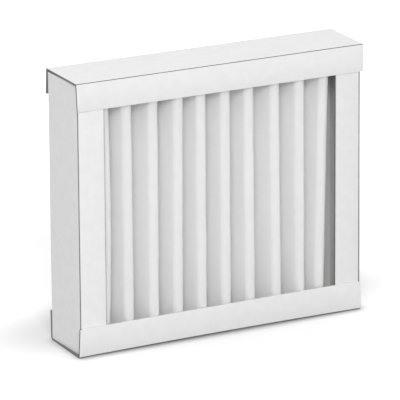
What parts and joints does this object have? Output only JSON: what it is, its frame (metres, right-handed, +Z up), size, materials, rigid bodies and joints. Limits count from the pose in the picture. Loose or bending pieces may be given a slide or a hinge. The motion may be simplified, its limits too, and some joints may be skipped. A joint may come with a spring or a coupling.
{
  "type": "pleated panel air filter",
  "caption": "Shallow panel air filter: a rectangular frame of four folded board channels around one pleated nonwoven sheet with upright rounded folds, open on both faces.",
  "frame": {"origin": "middle of the footprint of the bottom channel's web, on the surface that the panel stands on", "axes": "+X along the panel's width, +Y through the panel from the front face to the rear face, +Z up along the pleats"},
  "size_m": [0.23, 0.048, 0.2028],
  "materials": {
    "lined_board": "smooth white coated face, grey core and back",
    "nonwoven": "soft matt white nonwoven",
    "adhesive": "translucent off-white hot-melt"
  },
  "bodies": {
    "root": {"top_channel": "lined_board", "bottom_channel": "lined_board", "left_channel": "lined_board", "right_channel": "lined_board", "pleated_media": "nonwoven", "top_glue_bed": "adhesive", "bottom_glue_bed": "adhesive", "left_edge_glue": "adhesive", "right_edge_glue": "adhesive", "corner_glue": "adhesive"}
  },
  "joints": []
}
